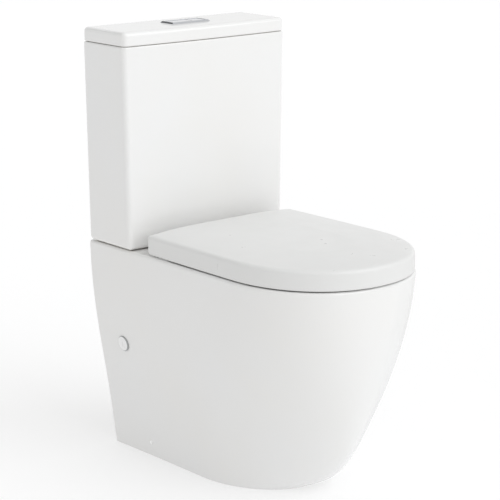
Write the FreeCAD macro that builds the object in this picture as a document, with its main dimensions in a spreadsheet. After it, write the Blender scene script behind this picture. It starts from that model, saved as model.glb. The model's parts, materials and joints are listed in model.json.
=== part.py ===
import FreeCAD, Part
import math
import os

import Sketcher

# Close coupled toilet: a skirted ceramic pan that stands against the wall, a
# ceramic cistern bolted to the pan's rear deck, and a wrap-over seat and lid.
# Millimetres. +Z is up, -Y is the front (the nose of the pan), +X is the
# sitter's left. The origin is on the floor, under the middle of the overall box:
# the wall plane is y = wall_y and the nose of the seat lid is y = -wall_y.

V = FreeCAD.Vector
Rot = FreeCAD.Rotation
Pl = FreeCAD.Placement

doc = FreeCAD.newDocument("CloseCoupledToilet")

# ---------------------------------------------------------------- dimensions

DIMS = [
    # overall frame
    ("wall_y", 300, "wall plane, half of the overall depth"),
    ("deck_z", 410, "top of the pan: rim and rear deck"),
    # pan
    ("pan_wall", 11, "skirt wall thickness"),
    ("deck_thick", 14, "rim and deck thickness"),
    ("top_round", 5, "rounding of the pan's top edge"),
    ("bowl_wall", 10, "bowl shell thickness"),
    ("arch_half", 88, "half width of the service opening in the back"),
    ("arch_spring", 235, "height where the service opening's round top starts"),
    ("trap_bore", 32, "trapway bore radius"),
    ("trap_outer", 43, "trapway outer radius"),
    ("outlet_z", 185, "outlet centre height"),
    ("outlet_outer", 51, "outlet spigot outer radius"),
    ("outlet_bore", 42, "outlet spigot bore radius"),
    ("outlet_len", 44, "outlet spigot length"),
    ("outlet_set_in", 4, "outlet end, in front of the wall plane"),
    ("inlet_y", 237, "flush inlet and cistern centre line"),
    ("well_rad", 48.5, "gasket well radius in the deck"),
    ("well_deep", 20, "gasket well depth"),
    ("channel_bore", 26, "flush channel bore radius"),
    ("channel_outer", 36, "flush channel outer radius"),
    ("channel_z", 345, "flush channel height"),
    ("access_y", 226, "side access hole position"),
    ("access_z", 221, "side access hole height"),
    ("access_rad", 11.5, "side access hole radius"),
    ("access_tilt", 9.1, "lean of the skirt at the access hole, degrees"),
    ("foot_y", 188, "floor fixing position"),
    ("foot_z", 28.6, "side fixing screw height"),
    ("foot_x", 84, "floor fixing hole, half spacing"),
    # cistern
    ("tank_half_top", 190, "cistern half width at the top"),
    ("tank_half_low", 183.4, "cistern half width at the bottom"),
    ("tank_depth", 126.5, "cistern depth at its sides"),
    ("tank_bow", 5.5, "bow of the cistern front"),
    ("tank_z0", 411.7, "cistern underside"),
    ("tank_z1", 783.8, "cistern top edge"),
    ("tank_wall", 9, "cistern wall"),
    ("tank_floor", 10, "cistern floor"),
    ("bolt_x", 75, "cistern bolt, half spacing"),
    ("bolt_rad", 4, "cistern bolt shank radius"),
    ("valve_x", 135, "fill valve position"),
    # lid
    ("cover_z0", 784.5, "cistern lid lower edge"),
    ("cover_z1", 810, "cistern lid top"),
    ("cover_half", 189.2, "cistern lid half width"),
    ("cover_plate", 10, "cistern lid top thickness"),
    ("cover_rim", 11, "cistern lid rim thickness"),
    # push button
    ("plate_half_x", 44, "button bezel half length"),
    ("plate_half_y", 18.5, "button bezel half width"),
    ("plate_high", 3, "bezel height above the lid"),
    ("tray_half_x", 41, "button tray half length"),
    ("tray_half_y", 15.5, "button tray half width"),
    ("tray_wall", 1.5, "button tray wall"),
    ("tray_z", 793, "underside of the button tray"),
    ("key_split", 8, "line between the two keys"),
    ("key_gap", 0.35, "gap round each key"),
    ("key_z0", 805.4, "underside of the keys"),
    ("key_z1", 812.5, "top of the keys"),
    ("rod_x", 32, "push rod, half spacing"),
    ("rod_rad", 2, "push rod radius"),
    ("rod_z", 718, "lower end of the push rods"),
    # flush valve
    ("tail_rad", 30, "flush valve tail radius"),
    ("tail_bore", 24, "flush valve bore radius"),
    ("flange_rad", 45, "flush valve flange radius"),
    ("seat_z", 431, "flush valve seat height"),
    ("cage_rad", 38, "flush valve cage radius"),
    ("tower_rad", 28, "flush valve tower radius"),
    ("tower_top", 700, "flush valve tower top"),
    ("tube_rad", 11, "overflow tube radius"),
    ("pivot_x", 20, "flush lever pivot, from the tube's centre"),
    ("pivot_z", 714, "flush lever pivot height"),
    # fill valve
    ("shank_rad", 10.4, "water inlet shank radius"),
    ("riser_rad", 9, "fill valve riser radius"),
    ("float_z0", 604, "float cup lower edge when low"),
    ("float_z1", 669, "float cup top when low"),
    ("float_rad", 23, "float cup radius"),
    # seat
    ("hinge_y", 117, "seat hinge axis"),
    ("hinge_z", 430, "seat hinge axis height"),
    ("hinge_x", 77.5, "seat hinge posts, half spacing"),
    ("pin_rad", 4, "seat hinge pin radius"),
    ("lid_z0", 412.4, "seat lid lower edge"),
    ("lid_edge_z", 448, "seat lid top at its edge"),
    ("lid_side", 176, "seat lid half width"),
    ("lid_rear", 173.6, "seat lid half width at the back"),
    ("lid_back_y", 136, "seat lid rear edge"),
    ("lid_tan_y", -104, "where the seat lid's nose curve starts"),
    ("lid_nose_y", -300, "seat lid nose"),
    ("lid_power", 2.14, "fullness of the nose curve"),
    ("lid_wall", 5, "seat lid skirt thickness"),
    ("lid_ceiling", 441.5, "underside of the seat lid panel"),
    ("ring_z0", 414.8, "seat ring underside"),
    ("ring_z1", 435.5, "seat ring top"),
    ("ring_inset", 7, "seat ring edge inside the lid's outline"),
    ("ring_back_y", 93, "seat ring rear edge"),
    ("ring_hole_x", 104, "seat opening half width"),
    ("ring_hole_front", -226, "seat opening front"),
    ("ring_hole_rear", 56, "seat opening rear"),
]

# The pan's outer sections: height, half width at the wall, half width where the
# nose curve starts, that line's y, the nose's y and the fullness of the curve.
PAN = [
    (0, 128.0, 124.0, 36.8, -117.5, 1.947),
    (12, 129.7, 125.7, 37.7, -141.8, 1.884),
    (25, 131.5, 127.5, 38.3, -163.4, 1.822),
    (40, 133.6, 129.5, 38.6, -181.4, 1.768),
    (60, 136.3, 132.3, 37.5, -198.4, 1.740),
    (90, 140.6, 136.5, 29.0, -217.2, 1.770),
    (130, 146.9, 142.8, 11.3, -234.9, 1.868),
    (170, 153.9, 150.0, -11.0, -249.8, 1.985),
    (220, 162.6, 159.8, -40.0, -265.2, 2.088),
    (270, 170.3, 168.1, -63.5, -277.6, 2.158),
    (320, 176.4, 174.3, -80.5, -287.0, 2.216),
    (370, 180.1, 177.9, -91.5, -293.4, 2.257),
    (405, 181.4, 178.9, -96.0, -296.1, 2.274),
]

# The bowl: height, half width, front y, rear y.
BOWL = [
    (84, 27, -54, -4),
    (112, 33, -68, 2),
    (140, 42, -90, 10),
    (180, 58, -128, 26),
    (220, 76, -166, 41),
    (280, 98, -206, 56),
    (340, 112, -233, 66),
    (390, 117.5, -244, 71),
    (412, 118.5, -246, 72),
]

sheet = doc.addObject("Spreadsheet::Sheet", "Dims")
row = 0


def cell(alias, number, note):
    global row
    row += 1
    sheet.set("A%d" % row, alias)
    sheet.set("B%d" % row, repr(number))
    sheet.set("C%d" % row, note)
    sheet.setAlias("B%d" % row, alias)


for alias, number, note in DIMS:
    cell(alias, number, note)
for i, values in enumerate(PAN):
    for word, number in zip(("height", "rear", "side", "tangent", "nose", "power"), values):
        cell("pan%02d_%s" % (i, word), number, "pan section %d" % i)
for i, values in enumerate(BOWL):
    for word, number in zip(("height", "half", "front", "rear"), values):
        cell("bowl%02d_%s" % (i, word), number, "bowl section %d" % i)
doc.recompute()


class Q:
    """A size from the sheet: its number, and the expression that gives it."""

    def __init__(self, number, text):
        self.n = float(number)
        self.text = text

    @staticmethod
    def of(other):
        return other if isinstance(other, Q) else Q(other, "(%r)" % float(other))

    def __add__(self, o):
        o = Q.of(o)
        return Q(self.n + o.n, "(%s + %s)" % (self.text, o.text))

    def __radd__(self, o):
        return Q.of(o) + self

    def __sub__(self, o):
        o = Q.of(o)
        return Q(self.n - o.n, "(%s - %s)" % (self.text, o.text))

    def __rsub__(self, o):
        return Q.of(o) - self

    def __mul__(self, o):
        o = Q.of(o)
        return Q(self.n * o.n, "(%s * %s)" % (self.text, o.text))

    def __rmul__(self, o):
        return Q.of(o) * self

    def __truediv__(self, o):
        o = Q.of(o)
        return Q(self.n / o.n, "(%s / %s)" % (self.text, o.text))

    def __neg__(self):
        return Q(-self.n, "(0 - %s)" % self.text)


class Sizes:
    pass


D = Sizes()
for alias, number, note in DIMS:
    setattr(D, alias, Q(sheet.get(alias), "Dims." + alias))


def num(q):
    return q.n if isinstance(q, Q) else float(q)


def read(alias):
    return float(sheet.get(alias))


def bind(obj, prop, q):
    setattr(obj, prop, num(q))
    if isinstance(q, Q):
        obj.setExpression(prop, q.text)


def put(obj, x=0, y=0, z=0, rot=None):
    obj.Placement = Pl(V(num(x), num(y), num(z)), rot or Rot())
    for word, q in (("x", x), ("y", y), ("z", z)):
        if isinstance(q, Q):
            obj.setExpression("Placement.Base." + word, q.text)
    return obj


NODES = []


def node(obj, label):
    obj.Label = label
    NODES.append(obj)
    return obj


# ------------------------------------------------------------ small builders


def box(name, x0, x1, y0, y1, z0, z1):
    b = doc.addObject("Part::Box", name)
    bind(b, "Length", Q.of(x1) - x0 if isinstance(x0, Q) or isinstance(x1, Q) else x1 - x0)
    bind(b, "Width", Q.of(y1) - y0 if isinstance(y0, Q) or isinstance(y1, Q) else y1 - y0)
    bind(b, "Height", Q.of(z1) - z0 if isinstance(z0, Q) or isinstance(z1, Q) else z1 - z0)
    return put(b, x0, y0, z0)


AXES = {"z": Rot(), "y": Rot(V(1, 0, 0), -90), "x": Rot(V(0, 1, 0), 90)}


def cyl(name, rad, length, x, y, z, axis="z"):
    c = doc.addObject("Part::Cylinder", name)
    bind(c, "Radius", rad)
    bind(c, "Height", length)
    return put(c, x, y, z, AXES[axis] if isinstance(axis, str) else axis)


def fuse(name, shapes):
    f = doc.addObject("Part::MultiFuse", name)
    f.Shapes = shapes
    return f


def cut(name, base, tools):
    c = doc.addObject("Part::Cut", name)
    c.Base = base
    c.Tool = tools[0] if len(tools) == 1 else fuse(name + "_tools", tools)
    return c


def mirrored(name, source):
    m = doc.addObject("Part::Mirroring", name)
    m.Source = source
    m.Normal = V(1, 0, 0)
    m.Base = V(0, 0, 0)
    return m


def group(label, shapes):
    g = doc.addObject("Part::Compound", label)
    g.Links = shapes
    return node(g, label)


def pair(label, source):
    return group(label, [source, mirrored(label + "_other", source)])


def plane_of(body, role):
    for f in body.Origin.OriginFeatures:
        if f.Role == role:
            return f
    raise RuntimeError("no plane " + role)


def new_sketch(body, name, role, lift=None):
    sk = body.newObject("Sketcher::SketchObject", name)
    sk.AttachmentSupport = (plane_of(body, role), [""])
    sk.MapMode = "FlatFace"
    if lift is not None:
        sk.AttachmentOffset = Pl(V(0, 0, num(lift)), Rot())
        if isinstance(lift, Q):
            sk.setExpression("AttachmentOffset.Base.z", lift.text)
    return sk


def fix_point(sk, geo, pos, x, y):
    for kind, q, axis in (("DistanceX", x, -2), ("DistanceY", y, -1)):
        if not isinstance(q, Q) and abs(q) < 1e-9:
            sk.addConstraint(Sketcher.Constraint("PointOnObject", geo, pos, axis))
            continue
        i = sk.addConstraint(Sketcher.Constraint(kind, -1, 1, geo, pos, num(q)))
        if isinstance(q, Q):
            sk.setExpression("Constraints[%d]" % i, q.text)


def loop(sk, points):
    first = sk.GeometryCount
    n = len(points)
    for i in range(n):
        a, b = points[i], points[(i + 1) % n]
        sk.addGeometry(Part.LineSegment(V(num(a[0]), num(a[1]), 0), V(num(b[0]), num(b[1]), 0)), False)
    for i in range(n):
        sk.addConstraint(Sketcher.Constraint("Coincident", first + i, 2, first + (i + 1) % n, 1))
    for i in range(n):
        fix_point(sk, first + i, 1, points[i][0], points[i][1])


def circle(sk, x, y, rad):
    i = sk.addGeometry(Part.Circle(V(num(x), num(y), 0), V(0, 0, 1), num(rad)), False)
    fix_point(sk, i, 3, x, y)
    c = sk.addConstraint(Sketcher.Constraint("Radius", i, num(rad)))
    if isinstance(rad, Q):
        sk.setExpression("Constraints[%d]" % c, rad.text)


def bowed(sk, half, back, front, bow):
    """A rectangle whose front edge is an arc that stands out by bow."""
    hw, yb, yf, bw = num(half), num(back), num(front), num(bow)
    rad = (hw * hw + bw * bw) / (2 * bw)
    yc = yf - bw + rad
    sk.addGeometry(Part.LineSegment(V(-hw, yb, 0), V(hw, yb, 0)), False)
    sk.addGeometry(Part.LineSegment(V(hw, yb, 0), V(hw, yf, 0)), False)
    sk.addGeometry(Part.LineSegment(V(-hw, yf, 0), V(-hw, yb, 0)), False)
    arc = Part.ArcOfCircle(Part.Circle(V(0, yc, 0), V(0, 0, 1), rad),
                           math.atan2(yf - yc, -hw), math.atan2(yf - yc, hw))
    sk.addGeometry(arc, False)
    for a, pa, b, pb in ((0, 2, 1, 1), (2, 2, 0, 1), (1, 2, 3, 2), (2, 1, 3, 1)):
        sk.addConstraint(Sketcher.Constraint("Coincident", a, pa, b, pb))
    fix_point(sk, 0, 1, -Q.of(half), back)
    fix_point(sk, 0, 2, half, back)
    fix_point(sk, 1, 2, half, front)
    fix_point(sk, 2, 1, -Q.of(half), front)
    half, bow = Q.of(half), Q.of(bow)
    c = sk.addConstraint(Sketcher.Constraint("Radius", 3, rad))
    sk.setExpression("Constraints[%d]" % c, ((half * half + bow * bow) / (2 * bow)).text)


def turned(name, profile, x=0, y=0, z=0, rot=None):
    """A body turned about its own Z axis from (radius, height) points."""
    body = doc.addObject("PartDesign::Body", name)
    sk = new_sketch(body, name + "_profile", "XZ_Plane")
    loop(sk, profile)
    rev = body.newObject("PartDesign::Revolution", name + "_turn")
    rev.Profile = sk
    rev.ReferenceAxis = (sk, ["V_Axis"])
    rev.Angle = 360.0
    sk.Visibility = False
    put(body, x, y, z, rot)
    return body


def plate(name, loops, z0, thick, circles=(), x=0, y=0, z=0, role="XY_Plane"):
    """A body padded from closed loops and round holes in one sketch."""
    body = doc.addObject("PartDesign::Body", name)
    sk = new_sketch(body, name + "_outline", role, z0)
    for pts in loops:
        loop(sk, pts)
    for cx, cy, rad in circles:
        circle(sk, cx, cy, rad)
    pad = body.newObject("PartDesign::Pad", name + "_pad")
    pad.Profile = sk
    bind(pad, "Length", thick)
    sk.Visibility = False
    put(body, x, y, z)
    return body


def rect(x0, x1, y0, y1):
    return [(x0, y0), (x1, y0), (x1, y1), (x0, y1)]


def dress(body, feature, kind, size, pick):
    """Fillet or Chamfer the feature's edges that pick chooses."""
    doc.recompute()
    names = ["Edge%d" % (i + 1) for i, e in enumerate(feature.Shape.Edges) if pick(e)]
    if not names:
        raise RuntimeError("no edges to dress on " + feature.Name)
    f = body.newObject("PartDesign::" + kind, feature.Name + "_" + kind.lower())
    f.Base = (feature, names)
    bind(f, "Radius" if kind == "Fillet" else "Size", size)
    body.Tip = f
    return f


def along(e, axis):
    a, b = e.Vertexes[0].Point, e.Vertexes[-1].Point
    d = (b - a)
    if d.Length < 1e-6:
        return False
    d.normalize()
    return abs(abs(d.dot(axis)) - 1) < 0.02


def at_z(e, z):
    return all(abs(v.Point.z - z) < 0.05 for v in e.Vertexes)


# ------------------------------------------------- freeform outlines and pipes


def d_outline(z, rear, side, back, tangent, nose, power, inset=0.0, back_inset=None):
    """Straight back, gently bowed sides and a full, rounded nose."""
    bi = inset if back_inset is None else back_inset
    hr, hs, yb, yn = rear - inset, side - inset, back - bi, nose + inset
    pts = []
    for i in range(7):
        u = i / 7.0
        pts.append(V(hr + (hs - hr) * (1 - (1 - u) ** 2), yb + (tangent - yb) * u, z))
    for i in range(0, 33):
        a = math.pi * i / 32.0
        c, s = math.cos(a), math.sin(a)
        x = math.copysign(hs * abs(c) ** (2.0 / power), c)
        pts.append(V(x, tangent - (tangent - yn) * max(s, 0.0) ** (2.0 / power), z))
    for i in range(6, -1, -1):
        u = i / 7.0
        pts.append(V(-(hr + (hs - hr) * (1 - (1 - u) ** 2)), yb + (tangent - yb) * u, z))
    curve = Part.BSplineCurve()
    curve.interpolate(pts)
    return Part.Wire([curve.toShape(), Part.LineSegment(pts[-1], pts[0]).toShape()])


def oval(z, half, front, rear, grow=0.0, power=2.2):
    a, b = half + grow, (rear - front) / 2.0 + grow
    cy = (rear + front) / 2.0
    pts = []
    for i in range(32):
        t = 2 * math.pi * i / 32.0
        c, s = math.cos(t), math.sin(t)
        pts.append(V(math.copysign(a * abs(c) ** (2.0 / power), c),
                     cy + math.copysign(b * abs(s) ** (2.0 / power), s), z))
    curve = Part.BSplineCurve()
    curve.interpolate(pts, PeriodicFlag=True)
    return Part.Wire([curve.toShape()])


def lofted(wires, ruled=False):
    """A closed solid through the wires, the right way out."""
    shape = Part.makeLoft(wires, True, ruled)
    if shape.Volume < 0:
        shape.reverse()
    return shape


def stacked(bands):
    """Bands that share their end sections, as one solid."""
    shape = bands[0]
    for band in bands[1:]:
        shape = shape.fuse(band)
    return shape


def pipe(points, bend, rad):
    """A round bar along straight runs joined by tangent arcs, in the YZ plane."""
    pts = [V(0, y, z) for y, z in points]
    edges = []
    last = pts[0]
    for i in range(1, len(pts) - 1):
        a, p, b = pts[i - 1], pts[i], pts[i + 1]
        u, w = (a - p).normalize(), (b - p).normalize()
        half = math.acos(max(-1, min(1, u.dot(w)))) / 2
        t = bend / math.tan(half)
        s, e = p + u * t, p + w * t
        bis = (u + w).normalize()
        mid = p + bis * (bend / math.sin(half) - bend)
        edges.append(Part.LineSegment(last, s).toShape())
        edges.append(Part.Arc(s, mid, e).toShape())
        last = e
    edges.append(Part.LineSegment(last, pts[-1]).toShape())
    path = Part.Wire(edges)
    ring = Part.Wire([Part.Circle(pts[0], (pts[1] - pts[0]).normalize(), rad).toShape()])
    return path.makePipeShell([ring], True, False)


# ------------------------------------------------------------------- the pan

pan_rows = [tuple(read("pan%02d_%s" % (i, w)) for w in ("height", "rear", "side", "tangent", "nose", "power"))
            for i in range(len(PAN))]
bowl_rows = [tuple(read("bowl%02d_%s" % (i, w)) for w in ("height", "half", "front", "rear"))
             for i in range(len(BOWL))]
wall_y, deck_z, pan_wall, deck_thick = (read(a) for a in ("wall_y", "deck_z", "pan_wall", "deck_thick"))


def skirt_half(z, y):
    """Half width of the skirt's straight side at a height and a depth."""
    for lo, hi in zip(pan_rows, pan_rows[1:]):
        if lo[0] <= z <= hi[0]:
            k = (z - lo[0]) / (hi[0] - lo[0])
            rear, side, tan = (lo[j] + (hi[j] - lo[j]) * k for j in (1, 2, 3))
            u = (wall_y - y) / (wall_y - tan)
            return rear + (side - rear) * (1 - (1 - u) ** 2)
    return pan_rows[-1][1]


def skirt(inset, z_low, z_high):
    wires = []
    for z, rear, side, tan, nose, power in pan_rows:
        wires.append(d_outline(z, rear, side, wall_y, tan, nose, power, inset))
    body = lofted(wires)
    return body


outer = skirt(0.0, 0, deck_z)
z, rear, side, tan, nose, power = pan_rows[-1]
round_r = read("top_round")
cap = []
for k in range(5):
    a = math.pi / 2 * k / 4
    cap.append(d_outline(z + (deck_z - z) * math.sin(a), rear, side, wall_y, tan, nose, power,
                         round_r * (1 - math.cos(a)), 0.0))
outer = outer.fuse(lofted(cap))
hollow = skirt(pan_wall, 0, deck_z)
hollow = hollow.common(Part.makeBox(600, 900, deck_z - deck_thick + 1, V(-300, -450, -1)))
# the hollow starts at the floor: a thin copy of its first section opens the foot
z, rear, side, tan, nose, power = pan_rows[0]
foot = Part.Face(d_outline(z, rear, side, wall_y, tan, nose, power, pan_wall)).extrude(V(0, 0, -2))
shell = outer.cut(hollow.fuse(foot))
arch_half, arch_spring = read("arch_half"), read("arch_spring")
arch = Part.makeBox(2 * arch_half, 30, arch_spring + 1, V(-arch_half, wall_y - 20, -1))
arch = arch.fuse(Part.makeCylinder(arch_half, 30, V(0, wall_y - 20, arch_spring), V(0, 1, 0)))
shell = shell.cut(arch)

bw = read("bowl_wall")
bowl_out = lofted([oval(z if i else z - bw, a, f, r, bw) for i, (z, a, f, r) in enumerate(bowl_rows)])
bowl_out = bowl_out.common(Part.makeBox(600, 900, deck_z - deck_thick + 6, V(-300, -450, 0)))
bowl_in = lofted([oval(z, a, f, r) for z, a, f, r in bowl_rows])

outlet_z = read("outlet_z")
trap_path = [(-28, 112), (40, 112), (110, 228), (166, 228), (216, outlet_z), (wall_y - 20, outlet_z)]
trap_out = pipe(trap_path, 52, read("trap_outer"))
trap_in = pipe([(-28, 112), (40, 112), (110, 228), (166, 228), (216, outlet_z), (wall_y + 5, outlet_z)], 52,
               read("trap_bore"))
y_end = wall_y - read("outlet_set_in")
o_len = read("outlet_len")
spigot = Part.makeCylinder(read("outlet_outer"), o_len, V(0, y_end - o_len, outlet_z), V(0, 1, 0))
spigot = spigot.fuse(Part.makeCone(read("trap_outer"), read("outlet_outer"), 12,
                                   V(0, y_end - o_len - 12, outlet_z), V(0, 1, 0)))
spigot_in = Part.makeCylinder(read("outlet_bore"), o_len, V(0, y_end - o_len + 8, outlet_z), V(0, 1, 0))
spigot_in = spigot_in.fuse(Part.makeCone(read("trap_bore"), read("outlet_bore"), 12,
                                         V(0, y_end - o_len - 4, outlet_z), V(0, 1, 0)))

inlet_y, channel_z = read("inlet_y"), read("channel_z")
well_rad, well_deep = read("well_rad"), read("well_deep")
channel_path = [(inlet_y, deck_z - 15), (inlet_y, channel_z), (60, channel_z)]
channel_out = pipe(channel_path, 40, read("channel_outer"))
channel_in = pipe(channel_path, 40, read("channel_bore"))
boss = Part.makeCylinder(well_rad + 7.5, well_deep + 12, V(0, inlet_y, deck_z - well_deep - 12))
well = Part.makeCylinder(well_rad, well_deep + 5, V(0, inlet_y, deck_z - well_deep))
throat = Part.makeCylinder(read("tail_rad") + 3, 12, V(0, inlet_y, deck_z - well_deep - 11))

solid = shell.fuse([bowl_out, trap_out, spigot, channel_out, boss])
tools = [bowl_in, trap_in, spigot_in, channel_in, well, throat]
for sx in (-1, 1):
    tools.append(Part.makeCylinder(7, 60, V(sx * read("bolt_x"), inlet_y, deck_z - 40)))
    tools.append(Part.makeCylinder(7.5, 60, V(sx * read("hinge_x"), read("hinge_y") - 1.5, deck_z - 40)))
    tools.append(Part.makeCylinder(3, 60, V(sx * 100, read("foot_y"), read("foot_z")), V(sx, 0, 0)))
    tools.append(Part.makeCylinder(4.6, 20, V(sx * (skirt_half(read("foot_z"), read("foot_y")) - 4), read("foot_y"),
                                              read("foot_z")), V(sx, 0, 0)))
    tilt = math.radians(read("access_tilt"))
    out = V(sx * math.cos(tilt), 0, -math.sin(tilt))
    on_wall = V(sx * skirt_half(read("access_z"), read("access_y")), read("access_y"), read("access_z"))
    tools.append(Part.makeCylinder(read("access_rad"), 40, on_wall - out * 25, out))
tools.append(Part.makeCylinder(20, 60, V(read("valve_x"), inlet_y, deck_z - 40)))
solid = solid.cut(tools)
solid = solid.removeSplitter()


def largest(shape):
    return max(shape.Solids, key=lambda s: s.Volume)


solid = largest(solid)
# The casting is kept as three pieces that meet face to face: the skirt with its
# rim and deck, the bowl with its trapway and flush channel, and the outlet.
seam = bw + 6
core = lofted([oval(z if i else z - seam, a, f, r, seam) for i, (z, a, f, r) in enumerate(bowl_rows)])
core = core.fuse([pipe([(-28, 112), (40, 112), (110, 228), (166, 228), (216, outlet_z), (wall_y + 20, outlet_z)], 52,
                       read("trap_outer") + 3),
                  Part.makeCylinder(read("outlet_outer") + 3, 80, V(0, wall_y - 66, outlet_z), V(0, 1, 0)),
                  pipe([(inlet_y, deck_z - 8), (inlet_y, channel_z), (60, channel_z)], 40, read("channel_outer") + 2),
                  Part.makeCylinder(well_rad + 10, well_deep + 20, V(0, inlet_y, deck_z - well_deep - 14))])
behind = Part.makeBox(200, 100, 140, V(-100, wall_y - 64, 120))
pan_skirt = largest(solid.cut(core))
pan_core = solid.common(core)
pan_outlet = largest(pan_core.common(behind))
pan_bowl = largest(pan_core.cut(behind))
for label, shape in (("pan_skirt", pan_skirt), ("pan_bowl", pan_bowl), ("pan_outlet", pan_outlet)):
    piece = doc.addObject("Part::Feature", label)
    piece.Shape = shape
    piece.Placement = Pl(V(0, 0, 0), Rot())
    node(piece, label)
gap = abs(solid.Volume - pan_skirt.Volume - pan_bowl.Volume - pan_outlet.Volume)
if gap > 900:
    raise RuntimeError("the pan's three pieces don't add up to it: %.0f mm3" % gap)

# ------------------------------------------- covers and fixings of the pan

cap_x = skirt_half(read("access_z"), read("access_y"))
cap_body = turned("access_cap", [(0, -9), (10.6, -9), (10.6, 0.15), (15, 0.15), (15, 1.6), (13.6, 2.8), (6, 3.4), (0, 3.5)],
                  -cap_x, D.access_y, D.access_z,
                  Rot(V(0, 0, 1), V(-math.cos(tilt), 0, -math.sin(tilt))))
slot_sk = new_sketch(cap_body, "access_cap_slot", "XY_Plane", 2.6)
loop(slot_sk, rect(-5, 5, -0.8, 0.8))
slot = cap_body.newObject("PartDesign::Pocket", "access_cap_driver_slot")
slot.Profile = slot_sk
slot.Length = 2
slot.Reversed = True
pair("side_access_caps", cap_body)

bracket = plate("bracket_block", [[(92, 0), (114, 0), (114, 36), (108, 42), (100, 42), (100, 5), (92, 5)]], -20, 40,
                z=0, role="XZ_Plane", y=D.foot_y)
foot_plate = plate("bracket_foot", [rect(68, 100, -20, 20)], 0, 5, circles=[(D.foot_x, 0, 4)], y=D.foot_y)
bracket_bore = cyl("bracket_bore", 2.45, 30, 95, D.foot_y, D.foot_z, "x")
left_bracket = cut("floor_bracket_one", fuse("floor_bracket_joined", [bracket, foot_plate]), [bracket_bore])
pair("floor_brackets", left_bracket)

screw_x = skirt_half(read("foot_z"), read("foot_y"))
screw = turned("bracket_screw", [(0, -28), (2.0, -26), (2.4, -24), (2.4, -2.4), (4.2, -0.2), (4.2, 0), (0, 0)],
               screw_x - 1.6, D.foot_y, D.foot_z, Rot(V(0, 0, 1), V(1, 0, 0)))
pair("bracket_screws", screw)
screw_cap = turned("screw_cap", [(0, 0), (4.4, 0), (4.4, 1.6), (3.4, 2.3), (0, 2.5)],
                   screw_x - 1.5, D.foot_y, D.foot_z, Rot(V(0, 0, 1), V(1, 0, 0)))
pair("screw_caps", screw_cap)

# -------------------------------------------------------------- the cistern

front = D.wall_y - D.tank_depth


def tapered_tank(name, inset, z_low, z_high):
    """A block with leaning flat sides and a front face bowed to an arc."""
    body = doc.addObject("PartDesign::Body", name)
    lean = (D.tank_half_top - D.tank_half_low) / (D.tank_z1 - D.tank_z0)
    low_half = D.tank_half_low + lean * (z_low - D.tank_z0) - inset
    high_half = D.tank_half_low + lean * (z_high - D.tank_z0) - inset
    sk = new_sketch(body, name + "_face", "XZ_Plane", -(D.wall_y - inset))
    loop(sk, [(-low_half, z_low), (low_half, z_low), (high_half, z_high), (-high_half, z_high)])
    pad = body.newObject("PartDesign::Pad", name + "_pad")
    pad.Profile = sk
    bind(pad, "Length", D.tank_depth + D.tank_bow - 2 * inset)
    # everything in front of the arc comes away
    sk = new_sketch(body, name + "_bow", "XY_Plane", z_low - 20)
    half, bw = num(D.tank_half_top), num(D.tank_bow)
    rad = (half * half + bw * bw) / (2 * bw) - num(inset)
    yc = num(front) - bw + num(inset) + rad
    wide = half + 20
    edge = yc - math.sqrt(rad * rad - wide * wide)
    sk.addGeometry(Part.ArcOfCircle(Part.Circle(V(0, yc, 0), V(0, 0, 1), rad),
                                    math.atan2(edge - yc, -wide), math.atan2(edge - yc, wide)), False)
    sk.addGeometry(Part.LineSegment(V(wide, edge, 0), V(wide, edge - 60, 0)), False)
    sk.addGeometry(Part.LineSegment(V(wide, edge - 60, 0), V(-wide, edge - 60, 0)), False)
    sk.addGeometry(Part.LineSegment(V(-wide, edge - 60, 0), V(-wide, edge, 0)), False)
    for a, pa, b, pb in ((0, 2, 1, 1), (1, 2, 2, 1), (2, 2, 3, 1), (3, 2, 0, 1)):
        sk.addConstraint(Sketcher.Constraint("Coincident", a, pa, b, pb))
    sk.addConstraint(Sketcher.Constraint("PointOnObject", 0, 3, -2))
    q_rad = (D.tank_half_top * D.tank_half_top + D.tank_bow * D.tank_bow) / (2 * D.tank_bow) - inset
    c = sk.addConstraint(Sketcher.Constraint("Radius", 0, rad))
    sk.setExpression("Constraints[%d]" % c, q_rad.text)
    c = sk.addConstraint(Sketcher.Constraint("DistanceY", -1, 1, 0, 3, yc))
    sk.setExpression("Constraints[%d]" % c, (front - D.tank_bow + inset + q_rad).text)
    for geo, pos, x in ((1, 1, wide), (1, 2, wide), (2, 2, -wide), (3, 2, -wide)):
        sk.addConstraint(Sketcher.Constraint("DistanceX", -1, 1, geo, pos, x))
    sk.addConstraint(Sketcher.Constraint("DistanceY", -1, 1, 1, 2, edge - 60))
    sk.addConstraint(Sketcher.Constraint("DistanceY", -1, 1, 2, 2, edge - 60))
    doc.recompute()
    before = body.Shape.Volume
    pk = body.newObject("PartDesign::Pocket", name + "_bow_cut")
    pk.Profile = sk
    pk.Length = num(z_high - z_low) + 40
    pk.Reversed = True
    doc.recompute()
    if not body.Shape.Volume < before - 1000:
        raise RuntimeError("the bow cut nothing on " + name)
    return body, pk


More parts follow.
